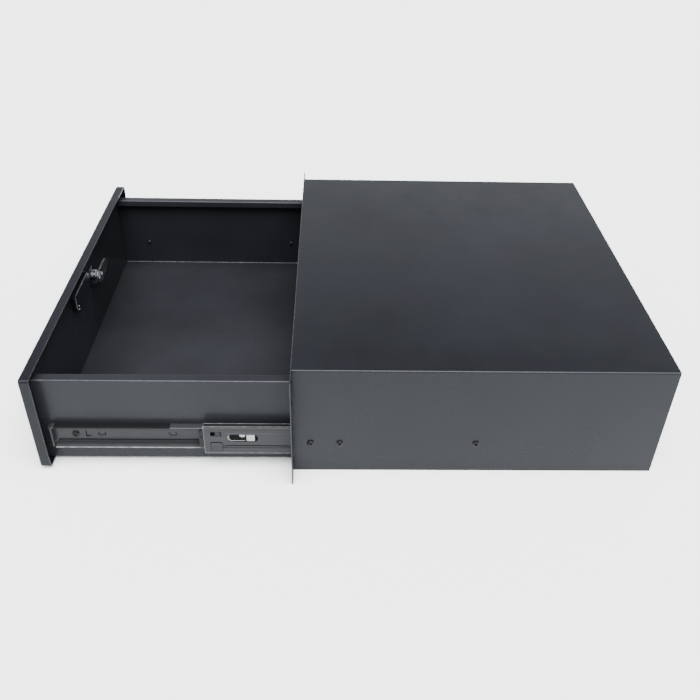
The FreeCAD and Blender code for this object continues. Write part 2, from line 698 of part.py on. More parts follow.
def slide_fittings():
    """Front stop and nylon latch in the middle rail, rear bumper in the case rail."""
    web_in = f"({MIDDLE_WEB} + rail_sheet)"
    stop = new_body("front_stop_right")
    block = side_sketch(stop, across(MIDDLE_WEB))
    rounded_rectangle(block, f"{MIDDLE_FRONT} - stop_length", above("-stop_height / 2"),
                      MIDDLE_FRONT, above("stop_height / 2"), "stop_corner")
    pad(stop, block, f"stop_reach - {MIDDLE_WEB}", along_normal=False)
    left_twin("front_stop_left", stop)

    latch = new_body("slide_latch_right")
    middle = f"{MIDDLE_FRONT} + latch_slot_place"
    plate = side_sketch(latch, across(web_in))
    slot(plate, middle, above("latch_slot_rise"), "latch_slot_length + 2 * latch_rim",
         "latch_slot_height + 2 * latch_rim")
    rectangle(plate, f"{middle} - (latch_slot_length - latch_slot_height) / 2",
              above("latch_slot_rise - (latch_slot_height - latch_rim) / 2"),
              f"{middle} + (latch_slot_length - latch_slot_height) / 2",
              above("latch_slot_rise + (latch_slot_height - latch_rim) / 2"))
    pad(latch, plate, "latch_plate", along_normal=False)
    tooth = side_sketch(latch, across(f"({web_in} + latch_plate)"))
    rectangle(tooth, f"{middle} - latch_rim", above("latch_slot_rise - latch_slot_height / 2"),
              f"{middle} + latch_rim", above("latch_slot_rise + latch_slot_height / 2"))
    pad(latch, tooth, "latch_plate + rail_sheet")
    left_twin("slide_latch_left", latch)

    bumper = new_body("rear_bumper_right")
    block = side_sketch(bumper, across("rail_sheet"))
    end = f"({CASE_RAIL_BACK} - bumper_setback)"
    rounded_rectangle(block, f"{end} - bumper_length", above("-bumper_height / 2"),
                      end, above("bumper_height / 2"), "bumper_corner")
    pad(bumper, block, "stop_reach - rail_sheet", along_normal=False)
    left_twin("rear_bumper_left", bumper)


# ---------------------------------------------------------------- drawer

def tray_body():
    """Floor and sides folded from one sheet. Each side ends in a rim with a turned-down edge."""
    body = new_body("tray_body")
    side = TRAY_SIDE
    inner = f"({side} - tray_sheet)"
    rim = f"({side} - rim_width)"
    bend = "tray_bend"
    inner_bend = "(tray_bend - tray_sheet)"
    low = f"({TRAY_BOTTOM} + tray_sheet)"
    top = TRAY_TOP
    right_half = [
        (f"{side} - {bend}", TRAY_BOTTOM, bend, "left"), (side, f"{TRAY_BOTTOM} + {bend}"),
        (side, f"{top} - {bend}", bend, "left"), (f"{side} - {bend}", top),
        (f"{rim} + {bend}", top, bend, "left"), (rim, f"{top} - {bend}"),
        (rim, f"{top} - rim_drop"), (f"{rim} + tray_sheet", f"{top} - rim_drop"),
        (f"{rim} + tray_sheet", f"{top} - {bend}", inner_bend, "right"),
        (f"{rim} + {bend}", f"{top} - tray_sheet"),
        (f"{side} - {bend}", f"{top} - tray_sheet", inner_bend, "right"),
        (inner, f"{top} - {bend}"),
        (inner, f"{TRAY_BOTTOM} + {bend}", inner_bend, "right"), (f"{side} - {bend}", low),
    ]
    left_half = []
    for index in range(len(right_half) - 1, -1, -1):
        x, z = right_half[index][:2]
        arc = right_half[index - 1][2:] if index else ()
        left_half.append((f"-({x})", z) + arc)
    profile = front_pad(body, TRAY_FRONT, TRAY_LENGTH)
    outline(profile, right_half + left_half)
    screw_holes(body, TRAY_SCREWS)


def tray_front():
    """Front wall of the tray, behind the panel."""
    body = new_body("tray_front")
    plate = front_pad(body, FRONT_WALL, "tray_sheet")
    rectangle(plate, f"-{TRAY_SIDE}", TRAY_BOTTOM, TRAY_SIDE, TRAY_TOP)
    circle(plate, "lock_place", LOCK_HEIGHT, "lock_body / 2 + race_clearance")
    pull_outline(plate, "pull_clearance")


def tray_back():
    """Back wall of the tray, with a flange inside each side."""
    body = new_body("tray_back")
    side = f"({TRAY_SIDE} - tray_sheet)"
    bottom = f"({TRAY_BOTTOM} + tray_bend)"
    height = f"({TRAY_TOP} - rim_drop - {bottom})"
    flange = f"{TRAY_BACK} - back_flange"
    face = f"{TRAY_BACK} - tray_sheet"
    profile = top_sketch(body, bottom)
    outline(profile, [
        (f"-{side}", TRAY_BACK), (f"-{side}", flange), (f"-{side} + tray_sheet", flange),
        (f"-{side} + tray_sheet", face), (f"{side} - tray_sheet", face),
        (f"{side} - tray_sheet", flange), (side, flange), (side, TRAY_BACK),
    ])
    pad(body, profile, height)


def front_panel():
    """Shallow pan that covers the mouth of the case, with holes for the lock and the pull."""
    body = new_body("front_panel")
    half = PANEL_SIDE
    top = PANEL_TOP
    block = front_pad(body, PANEL_FRONT, "panel_depth")
    rounded_rectangle(block, f"-{half}", "panel_bottom", half, top, "panel_corner")
    round_front(body)
    hollow = front_sketch(body, PANEL_BACK)
    rounded_rectangle(hollow, f"-{half} + panel_sheet", "panel_bottom + panel_sheet",
                      f"{half} - panel_sheet", f"{top} - panel_sheet",
                      "(panel_corner - panel_sheet)")
    pocket(body, hollow, "panel_depth - panel_sheet", along_normal=True)
    holes = front_sketch(body, PANEL_FRONT)
    circle(holes, "lock_place", LOCK_HEIGHT, "lock_body / 2 + race_clearance")
    pull_outline(holes, "pull_clearance")
    cut_through(body, holes)


def round_front(body):
    """Rounds the edges of the panel's front face, where its flanges are folded back."""
    doc.recompute()
    block = body.Tip
    front = block.Shape.BoundBox.YMin
    faces = [f"Face{index}" for index, face in enumerate(block.Shape.Faces, start=1)
             if face.BoundBox.YMax - front < 1e-6]
    fillet = body.newObject("PartDesign::Fillet", "front_panel_bend")
    fillet.Base = (block, faces)
    fillet.setExpression("Radius", linked("panel_bend"))


def pull_outline(sketch, margin):
    half = f"(pull_width / 2 + {margin})"
    rise = f"(pull_height / 2 + {margin})"
    rounded_rectangle(sketch, f"pull_place - {half}", f"{PULL_HEIGHT} - {rise}",
                      f"pull_place + {half}", f"{PULL_HEIGHT} + {rise}",
                      f"(pull_corner + {margin})")


def finger_pull():
    """A shallow cup with a rim on the front of the panel."""
    body = new_body("finger_pull")
    rim = front_pad(body, f"{PANEL_FRONT} - pull_sheet", "pull_sheet")
    pull_outline(rim, "pull_rim")
    cup = front_pad(body, PANEL_FRONT, "pull_depth")
    pull_outline(cup, "0")
    hollow = front_sketch(body, f"{PANEL_FRONT} - pull_sheet")
    pull_outline(hollow, "-pull_sheet")
    pocket(body, hollow, "pull_depth")


# ---------------------------------------------------------------- lock

def lock_housing():
    """Fixed barrel of the lock with two flats and a round bezel."""
    body = new_body("lock_housing")
    bezel = front_pad(body, f"{PANEL_FRONT} - bezel_height", "bezel_height")
    circle(bezel, "lock_place", LOCK_HEIGHT, "bezel_size / 2")
    barrel = front_pad(body, PANEL_FRONT, LOCK_LENGTH)
    flat = "(lock_flats / 2)"
    rise = f"sqrt((lock_body / 2) ^ 2 - {flat} ^ 2)"
    outline(barrel, [
        (f"lock_place + {flat}", f"{LOCK_HEIGHT} - {rise}"),
        (f"lock_place + {flat}", f"{LOCK_HEIGHT} + {rise}", "lock_body / 2", "left"),
        (f"lock_place - {flat}", f"{LOCK_HEIGHT} + {rise}"),
        (f"lock_place - {flat}", f"{LOCK_HEIGHT} - {rise}", "lock_body / 2", "left"),
    ])
    bore = front_sketch(body, f"{PANEL_FRONT} - bezel_height")
    circle(bore, "lock_place", LOCK_HEIGHT, "plug_size / 2 + plug_clearance")
    cut_through(body, bore)


def lock_nut():
    body = new_body("lock_nut")
    nut = front_pad(body, TRAY_FRONT, "nut_height")
    hexagon(nut, "lock_place", LOCK_HEIGHT, "nut_flats")
    circle(nut, "lock_place", LOCK_HEIGHT, "lock_body / 2 + plug_clearance")


def lock_plug():
    """Turning plug with a key slot in front and a square tail for the cam."""
    body = new_body("lock_plug")
    start = f"({PANEL_FRONT} - bezel_height)"
    plug = front_pad(body, start, f"bezel_height + {LOCK_LENGTH}")
    circle(plug, "lock_place", LOCK_HEIGHT, "plug_size / 2")
    tail = front_pad(body, LOCK_BACK, "cam_gap + cam_sheet + cam_nut_height")
    square(tail, "plug_tail")
    slot_cut = front_sketch(body, start)
    rectangle(slot_cut, "lock_place - key_slot_width / 2", f"{LOCK_HEIGHT} - key_slot_height / 2",
              "lock_place + key_slot_width / 2", f"{LOCK_HEIGHT} + key_slot_height / 2")
    pocket(body, slot_cut, "key_slot_depth")


def square(sketch, side):
    rectangle(sketch, f"lock_place - {side} / 2", f"{LOCK_HEIGHT} - {side} / 2",
              f"lock_place + {side} / 2", f"{LOCK_HEIGHT} + {side} / 2")


def lock_cam():
    """Flat cam with round ends. It lies level when open and stands up behind the lip when shut."""
    body = new_body("lock_cam")
    plate = front_pad(body, f"{LOCK_BACK} + cam_gap", "cam_sheet")
    reach = "(cam_length + cam_width / 2)"
    slot(plate, f"lock_place + cam_width / 2 - {reach} / 2", LOCK_HEIGHT, reach, "cam_width")
    square(plate, "plug_tail")


def cam_nut():
    body = new_body("cam_nut")
    nut = front_pad(body, f"{LOCK_BACK} + cam_gap + cam_sheet", "cam_nut_height")
    hexagon(nut, "lock_place", LOCK_HEIGHT, "cam_nut_flats")
    square(nut, "plug_tail")


case_cover()
case_bottom()
case_back()
case_rail()
middle_rail()
drawer_rail()
ball = few_sided_ball()
ball_cage("outer", OUTER_CAGE_WEB, OUTER_ROW, OUTER_ROW_HEIGHT,
          OUTER_CAGE_START, OUTER_CAGE_LENGTH, ball)
ball_cage("inner", INNER_CAGE_WEB, INNER_ROW, INNER_ROW_HEIGHT,
          INNER_CAGE_START, INNER_CAGE_LENGTH, ball)
slide_screws("case_screws", CASE_SCREWS, CASE_SIDE, "case_sheet + rail_sheet")
slide_screws("tray_screws", TRAY_SCREWS, across(DRAWER_WEB),
             "rail_sheet + tray_sheet + tray_screw_tip")
slide_fittings()
tray_body()
tray_front()
tray_back()
front_panel()
finger_pull()
lock_housing()
lock_nut()
lock_plug()
lock_cam()
cam_nut()

doc.recompute()
for item in doc.Objects:
    if "Invalid" in item.State or "Error" in item.State:
        raise RuntimeError(f"{item.Label} did not build: {item.State}")
for label, item in parts.items():
    if item.Shape.isNull() or not item.Shape.isValid():
        raise RuntimeError(f"{label} has no sound shape")
for label, item in parts.items():
    item.Shape.exportStep(f"parts/{label}.step")
    box = item.Shape.BoundBox
    print(f"{label:20s} {len(item.Shape.Solids):3d} solids {item.Shape.Volume / 1000:9.2f} cm3  "
          f"X {box.XMin:7.1f}..{box.XMax:7.1f}  Y {box.YMin:7.1f}..{box.YMax:7.1f}  "
          f"Z {box.ZMin:6.1f}..{box.ZMax:6.1f}")
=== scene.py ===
import bmesh
import bpy
import numpy as np
from mathutils import Matrix, Vector


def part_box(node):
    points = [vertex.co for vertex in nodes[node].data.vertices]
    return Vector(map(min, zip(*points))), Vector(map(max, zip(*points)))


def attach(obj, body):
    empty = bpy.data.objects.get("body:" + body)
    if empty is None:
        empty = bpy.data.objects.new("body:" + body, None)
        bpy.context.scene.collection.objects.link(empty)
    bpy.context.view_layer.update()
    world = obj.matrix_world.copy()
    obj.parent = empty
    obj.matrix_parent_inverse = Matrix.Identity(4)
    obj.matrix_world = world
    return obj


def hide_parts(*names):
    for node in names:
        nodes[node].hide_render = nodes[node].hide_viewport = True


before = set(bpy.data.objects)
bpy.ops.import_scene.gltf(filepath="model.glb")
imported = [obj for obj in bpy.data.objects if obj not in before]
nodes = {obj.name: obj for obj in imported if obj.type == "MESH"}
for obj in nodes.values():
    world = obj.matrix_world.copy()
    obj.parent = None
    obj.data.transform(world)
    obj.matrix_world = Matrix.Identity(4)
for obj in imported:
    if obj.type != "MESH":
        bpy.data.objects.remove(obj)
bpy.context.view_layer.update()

# Camera. It stands beside the right-hand wall of the drawer and looks across it and a little
# down, with the rails of the pulled-out tray nearest.
eye = Vector((0.82887, 0.03696, 0.60402))
toward = Vector((-0.8061, 0.0265, -0.5911)).normalized()
right = toward.cross(Vector((-0.5915, -0.0077, 0.8063))).normalized()
up = right.cross(toward).normalized()
lens = bpy.data.cameras.new("lens")
lens.lens = 41.147
lens.sensor_width = 36
camera = bpy.data.objects.new("camera", lens)
camera.matrix_world = Matrix.Translation(eye) @ Matrix((right, up, -toward)).transposed().to_4x4()
bpy.context.scene.collection.objects.link(camera)
bpy.context.scene.camera = camera

# Studio. A pale floor under a white dome: its crown is one broad soft lamp, and it is dimmer
# half-way down than at the horizon, so that the paint shows each fold by its sheen.
DOME = [(0.0, 1.20), (0.42, 1.10), (0.60, 0.42), (1.0, 0.20)]
SKY_TINT = (0.97, 0.99, 1.04)
CROWN = Vector((0.34, 0.10, 0.93)).normalized()
CROWN_RIM, CROWN_FULL = 0.80, 0.92
CROWN_LIGHT = 15.5


def wire(tree, value, socket):
    """Joins an output to a socket, or sets the socket to a plain value."""
    if isinstance(value, bpy.types.NodeSocket):
        tree.links.new(value, socket)
    else:
        socket.default_value = value


def maths(tree, operation, *values):
    """The result of a Math node over plain numbers or outputs."""
    node = tree.nodes.new("ShaderNodeMath")
    node.operation = operation
    for value, socket in zip(values, node.inputs):
        wire(tree, value, socket)
    return node.outputs[0]


def vector_maths(tree, operation, *values):
    """The result of a Vector Math node over plain vectors or outputs."""
    node = tree.nodes.new("ShaderNodeVectorMath")
    node.operation = operation
    for value, socket in zip(values, node.inputs):
        wire(tree, tuple(value) if isinstance(value, Vector) else value, socket)
    return node.outputs["Value" if operation in ("DOT_PRODUCT", "LENGTH") else "Vector"]


def step_between(tree, value, low, high, out_low=0.0, out_high=1.0):
    """A smooth step of value from out_low at low to out_high at high."""
    node = tree.nodes.new("ShaderNodeMapRange")
    node.interpolation_type = "SMOOTHSTEP"
    for name, number in (("From Min", low), ("From Max", high), ("To Min", out_low),
                         ("To Max", out_high)):
        node.inputs[name].default_value = number
    wire(tree, value, node.inputs["Value"])
    return node.outputs["Result"]


dome = bpy.data.worlds.new("dome")
dome.use_nodes = True
tree = dome.node_tree
sky = tree.nodes.new("ShaderNodeTexCoord").outputs["Generated"]
height = tree.nodes.new("ShaderNodeSeparateXYZ")
tree.links.new(sky, height.inputs[0])
band = tree.nodes.new("ShaderNodeValToRGB")
for index, (place, grey) in enumerate(DOME):
    stop = band.color_ramp.elements[index] if index < 2 else band.color_ramp.elements.new(place)
    stop.position = place
    stop.color = tuple(grey * share for share in SKY_TINT) + (1,)
tree.links.new(height.outputs["Z"], band.inputs["Fac"])
crown = step_between(tree, vector_maths(tree, "DOT_PRODUCT", sky, CROWN), CROWN_RIM,
                     CROWN_FULL, 0.0, CROWN_LIGHT)
glow = vector_maths(tree, "ADD", band.outputs["Color"], crown)
background = tree.nodes["Background"]
tree.links.new(glow, background.inputs["Color"])
bpy.context.scene.world = dome

SPAN = 8.0
FLOOR_DROP = 0.0002
corner = np.array([(-1, -1), (1, -1), (1, 1), (-1, 1)]) * SPAN
floor_mesh = bpy.data.meshes.new("floor")
floor_mesh.from_pydata([(x, y, -FLOOR_DROP) for x, y in corner], [], [(0, 1, 2, 3)])
floor = bpy.data.objects.new("floor", floor_mesh)
bpy.context.scene.collection.objects.link(floor)
floor_paper = bpy.data.materials.new("floor_paper")
floor_paper.use_nodes = True
paper = floor_paper.node_tree.nodes["Principled BSDF"]
paper.inputs["Base Color"].default_value = (0.95, 0.97, 0.96, 1)
paper.inputs["Roughness"].default_value = 1.0
floor_mesh.materials.append(floor_paper)

# Case. A cover folded from 1.2 mm steel, a floor and a back plate, all in black powder coat:
# a fine orange-peel skin, a little lighter along its edges and folds, part wear and part
# painted highlight.
PAINT = (0.0050, 0.0055, 0.0072)
RUBBED_AND_HIGHLIGHT = (0.16, 0.165, 0.18)
SHEEN_TINT = (0.90, 0.94, 1.0, 1)
GRAIN_HEIGHT = 0.0002
BEAD_END = 0.0008
BEAD_SHADE = 0.12
BEAD_DULL = 0.35
BEAD_DEPTH = 0.0005


def place_on(tree):
    """The Object coordinates of the shaded point."""
    return tree.nodes.new("ShaderNodeTexCoord").outputs["Object"]


def noise(tree, scale, detail=3.0, stretch=None):
    """Noise over Object coordinates, with its grain drawn out along an axis by stretch."""
    node = tree.nodes.new("ShaderNodeTexNoise")
    node.inputs["Scale"].default_value = scale
    node.inputs["Detail"].default_value = detail
    place = place_on(tree)
    if stretch:
        place = vector_maths(tree, "MULTIPLY", place, stretch)
    tree.links.new(place, node.inputs["Vector"])
    return node.outputs["Fac"]


def near_edge(tree, low, high, width):
    """How close a point lies to the box's edges: 1 on an edge and 0 from width away. Along
    each axis the closeness is one less the distance to the nearer face over width, and the
    result is the largest product of two of the three."""
    place = place_on(tree)
    inner = vector_maths(tree, "ABSOLUTE", vector_maths(
        tree, "MINIMUM", vector_maths(tree, "SUBTRACT", place, low),
        vector_maths(tree, "SUBTRACT", high, place)))
    share = vector_maths(tree, "SCALE", inner)
    share.node.inputs["Scale"].default_value = 1 / width
    close = vector_maths(tree, "MAXIMUM", vector_maths(tree, "SUBTRACT", (1, 1, 1), share),
                         (0, 0, 0))
    axes = tree.nodes.new("ShaderNodeSeparateXYZ")
    tree.links.new(close, axes.inputs[0])
    x, y, z = axes.outputs
    pairs = [maths(tree, "MULTIPLY", a, b) for a, b in ((x, y), (y, z), (x, z))]
    return maths(tree, "MAXIMUM", maths(tree, "MAXIMUM", pairs[0], pairs[1]), pairs[2])


def near_line(tree, lines):
    """How close a point lies to the lines that run along Y through each X and Z: each line's
    strength on it, falling smoothly to 0 at its width away."""
    place = vector_maths(tree, "MULTIPLY", place_on(tree), (1, 0, 1))
    best = None
    for x, z, width, strength in lines:
        away = vector_maths(tree, "LENGTH", vector_maths(tree, "SUBTRACT", place, (x, 0, z)))
        close = step_between(tree, away, 0.0, width, strength, 0.0)
        best = close if best is None else maths(tree, "MAXIMUM", best, close)
    return best


def pressed(tree, beads):
    """How deep a point lies in the beads pressed along Y: each is 1 within half its half-width
    of its middle height, falls smoothly to 0 at its edge, and has a start and an end."""
    axes = tree.nodes.new("ShaderNodeSeparateXYZ")
    tree.links.new(place_on(tree), axes.inputs[0])
    along = axes.outputs["Y"]
    best = None
    for middle, half, start, end in beads:
        away = maths(tree, "ABSOLUTE", maths(tree, "SUBTRACT", axes.outputs["Z"], middle))
        deep = step_between(tree, away, half * 0.5, half, 1.0, 0.0)
        deep = maths(tree, "MULTIPLY", deep, step_between(tree, along, start, start + BEAD_END))
        deep = maths(tree, "MULTIPLY", deep,
                     step_between(tree, along, end - BEAD_END, end, 1.0, 0.0))
        best = deep if best is None else maths(tree, "MAXIMUM", best, deep)
    return best


def finish(name, colour, rubbed_and_highlight, low, high, roughness=(0.26, 0.34), metallic=0.0, gloss=0.225,
           grain=1500, grain_depth=0.10, drift=0.22, drift_scale=7, rub_and_highlight=0.9, rub_and_highlight_width=0.0011,
           lines=(), beads=(), stretch=None, smudge=0.0):
    """A finish whose colour drifts with a slow noise, turns to its edge colour, part wear and part
    painted highlight, along the box's edges and the given lines where a finer noise lets it, and
    whose roughness and relief follow further noises. Beads are darkened inside as painted shade,
    and smudges are patches of another gloss."""
    made = bpy.data.materials.new(name)
    made.use_nodes = True
    tree = made.node_tree
    shader = tree.nodes["Principled BSDF"]
    shader.inputs["Metallic"].default_value = metallic
    shader.inputs["Specular IOR Level"].default_value = gloss
    shader.inputs["Specular Tint"].default_value = SHEEN_TINT
    ramp = tree.nodes.new("ShaderNodeValToRGB")
    for stop, place, amount in zip(ramp.color_ramp.elements, (0.3, 0.7), (1 - drift, 1 + drift)):
        stop.position = place
        stop.color = tuple(c * amount for c in colour) + (1,)
    tree.links.new(noise(tree, drift_scale, 5, stretch), ramp.inputs["Fac"])
    base = ramp.outputs["Color"]
    deep = pressed(tree, beads) if beads else None
    # Painted shade: inside each bead the base colour is darkened.
    if beads:
        shade = tree.nodes.new("ShaderNodeVectorMath")
        shade.operation = "SCALE"
        tree.links.new(base, shade.inputs[0])
        tree.links.new(step_between(tree, deep, 0.0, 1.0, 1.0, BEAD_SHADE), shade.inputs["Scale"])
        base = shade.outputs[0]
    # The edge colour along edges and lines is part wear and part painted highlight.
    worn_and_highlight = near_edge(tree, low, high, rub_and_highlight_width)
    if lines:
        worn_and_highlight = maths(tree, "MAXIMUM", worn_and_highlight, near_line(tree, lines))
    patchy = step_between(tree, noise(tree, 160, 6), 0.3, 0.7, rub_and_highlight * 0.4, rub_and_highlight)
    mix = tree.nodes.new("ShaderNodeMix")
    mix.data_type = "RGBA"
    colour_in, worn_and_highlight_in = [s for s in mix.inputs if s.type == "RGBA"]
    tree.links.new(maths(tree, "MULTIPLY", worn_and_highlight, patchy), mix.inputs["Factor"])
    tree.links.new(base, colour_in)
    worn_and_highlight_in.default_value = tuple(rubbed_and_highlight) + (1,)
    tree.links.new([s for s in mix.outputs if s.type == "RGBA"][0], shader.inputs["Base Color"])
    rough = step_between(tree, noise(tree, drift_scale * 3.1, 6, stretch), 0.3, 0.7, *roughness)
    if smudge:
        dabs = step_between(tree, noise(tree, 34, 2), 0.60, 0.72, 0.0, smudge)
        rough = maths(tree, "ADD", rough, dabs)
    if beads:
        rough = maths(tree, "ADD", rough, maths(tree, "MULTIPLY", deep, BEAD_DULL))
    tree.links.new(rough, shader.inputs["Roughness"])
    bump = tree.nodes.new("ShaderNodeBump")
    bump.inputs["Strength"].default_value = grain_depth
    bump.inputs["Distance"].default_value = GRAIN_HEIGHT
    tree.links.new(noise(tree, grain, 2, stretch), bump.inputs["Height"])
    tree.links.new(bump.outputs["Normal"], shader.inputs["Normal"])
    if beads:
        press = tree.nodes.new("ShaderNodeBump")
        press.inputs["Strength"].default_value = 0.8
        press.inputs["Distance"].default_value = BEAD_DEPTH
        press.invert = True
        tree.links.new(deep, press.inputs["Height"])
        tree.links.new(bump.outputs["Normal"], press.inputs["Normal"])
        tree.links.new(press.outputs["Normal"], shader.inputs["Normal"])
    return made


def dress(node, made):
    """Puts one finish on every slot of a node."""
    for place in nodes[node].material_slots:
        place.material = made


SHEET = 0.0012
case_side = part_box("case_back")[1].x + SHEET
case_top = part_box("case_cover")[1].z
# Painted highlight: a thin line of the edge colour along each top fold of the cover.
FOLD_WIDTH, FOLD_STRENGTH = 0.0014, 0.10
folds = [(side * case_side, case_top, FOLD_WIDTH, FOLD_STRENGTH) for side in (1, -1)]
for node in ("case_cover", "case_bottom", "case_back"):
    dress(node, finish(node + "_coat", PAINT, RUBBED_AND_HIGHLIGHT, *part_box(node), smudge=0.05, lines=folds,
                       rub_and_highlight=0.35, rub_and_highlight_width=0.0007))

# Tray and front. The same powder coat, a little duller. The tray is folded from one sheet with
# a front and a back wall, and the front is a shallow pan with a pressed pull behind it.
TRAY_PAINT = (0.0112, 0.0118, 0.0140)
# Painted highlight: thin light lines along the far floor fold and the bend of the far rim. The
# parts' edges take the edge colour, part wear and part painted highlight.
TRAY_FOLDS = [(-0.2046, 0.0054, 0.0012, 0.45), (-0.1947, 0.1076, 0.0014, 0.35)]
for node in ("tray_body", "tray_front", "tray_back"):
    dress(node, finish(node + "_coat", TRAY_PAINT, RUBBED_AND_HIGHLIGHT, *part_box(node), grain=1300, gloss=0.15,
                       grain_depth=0.14, lines=TRAY_FOLDS))
dress("front_panel", finish("front_panel_coat", PAINT, RUBBED_AND_HIGHLIGHT, *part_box("front_panel"),
                            grain=1300, gloss=0.15, grain_depth=0.14, rub_and_highlight=0.2))
PULL_RIM = 0.004
OFF_THE_PART = Vector((-1, -1, -1))
pull_low, pull_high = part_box("finger_pull")
cup_low = pull_low + Vector((PULL_RIM, 0, PULL_RIM))
cup_high = pull_high - Vector((PULL_RIM, 0, PULL_RIM))
# Painted highlight: the pull's edges that meet its upper, near, back corner take a light grey,
# while its lower and far edges, reached from a low corner off the part, stay dark.
dress("finger_pull", finish("finger_pull_coat", PAINT, (0.13, 0.13, 0.14), OFF_THE_PART,
                            cup_high, grain=1300, rub_and_highlight=1.2, rub_and_highlight_width=0.0013))

# Pull rivets. Two small steel rivets at the pressing's lower corner, set through its floor
# where a liner would be held.


def rounded(half_u, half_v, corner, inset=0.0, count=7):
    """The outline of a rectangle with round corners, drawn in by inset all round: four arcs
    about fixed corner centres, of the corner's radius less the inset."""
    held = max(corner, inset)
    turn = np.linspace(0, np.pi / 2, count)
    points = []
    for quarter, (u, v) in enumerate(((1, 1), (-1, 1), (-1, -1), (1, -1))):
        angle = turn + quarter * np.pi / 2
        points.append(np.stack([u * (half_u - held) + (held - inset) * np.cos(angle),
                                v * (half_v - held) + (held - inset) * np.sin(angle)], 1))
    return np.concatenate(points)


def round_of(radius, count):
    """A circle as an outline of count points."""
    angle = np.linspace(0, 2 * np.pi, count, endpoint=False)
    return radius * np.stack([np.cos(angle), np.sin(angle)], 1)


def stack(rings, levels, origin, along, across, out):
    """Outlines carried one above the other: each point is the origin, plus the outline's two
    coordinates times along and across, plus the level times out. Both ends are closed flat."""
    rings = np.asarray(rings, float)
    levels = np.asarray(levels, float)
    points = (np.asarray(origin, float) + rings[..., :1] * np.asarray(along, float)
              + rings[..., 1:] * np.asarray(across, float)
              + levels[:, None, None] * np.asarray(out, float))
    rows, count = points.shape[:2]
    near = np.arange(count)
    far = (near + 1) % count
    start = (np.arange(rows - 1) * count)[:, None]
    quads = np.stack([start + near, start + far, start + count + far, start + count + near], -1)
    faces = [tuple(f) for f in quads.reshape(-1, 4).tolist()]
    faces += [tuple(near[::-1].tolist()), tuple((near + (rows - 1) * count).tolist())]
    return points.reshape(-1, 3), faces


MERGE_WITHIN = 2e-6
SHARP_ANGLE = np.radians(32)


def make(name, parts, body, made, stands_for=()):
    """One object from closed shells: joined, doubles merged, faces turned outwards, and shaded
    smooth except where it folds by more than the sharp angle."""
    points, faces, start = [], [], 0
    for shell_points, shell_faces in parts:
        points.append(shell_points)
        faces += [tuple(index + start for index in face) for face in shell_faces]
        start += len(shell_points)
    mesh = bpy.data.meshes.new(name)
    mesh.from_pydata(np.concatenate(points).tolist(), [], faces)
    work = bmesh.new()
    work.from_mesh(mesh)
    bmesh.ops.remove_doubles(work, verts=work.verts, dist=MERGE_WITHIN)
    bmesh.ops.recalc_face_normals(work, faces=work.faces)
    work.to_mesh(mesh)
    work.free()
    mesh.polygons.foreach_set("use_smooth", [True] * len(mesh.polygons))
    mesh.set_sharp_from_angle(angle=SHARP_ANGLE)
    piece = bpy.data.objects.new(name, mesh)
    bpy.context.scene.collection.objects.link(piece)
    corners = np.array([v.co for v in mesh.vertices])
    mesh.materials.append(made(Vector(corners.min(0)), Vector(corners.max(0))))
    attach(piece, body)
    if stands_for:
        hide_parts(*stands_for)


RIVET_PLACES = ((0.0048, 0.0062), (0.0042, 0.0022))
parts = []
for inwards, rise in RIVET_PLACES:
    rings = [round_of(r, 20) for r in (0.0011, 0.0011, 0.0008, 0.0004)]
    parts.append(stack(rings, (-0.0002, 0.0004, 0.0010, 0.0012),
                       (cup_high.x - inwards, cup_high.y, cup_low.z + rise),
                       (1, 0, 0), (0, 0, 1), (0, 1, 0)))
make("pull_rivets", parts, "drawer",
     lambda low, high: finish("pull_rivet_steel", (0.10, 0.10, 0.105), (0.2, 0.2, 0.2), low, high,
                              metallic=0.8, roughness=(0.2, 0.3)))

# Slides. Rails roll-formed from zinc-plated strip with a black passivation. Their edges turn
# grey, part wear and part painted highlight, and grey lines along the rolled lips, where the
# balls and the next rail run, and along the ledges are painted highlights.
RAIL = (0.020, 0.0205, 0.0225)
RAIL_WORN_AND_HIGHLIGHT = (0.36, 0.36, 0.37)
ZINC = dict(roughness=(0.26, 0.38), metallic=0.06, gloss=0.15)
ROLLED = (1, 0.05, 1)
SIDES = ((1, "right"), (-1, "left"))
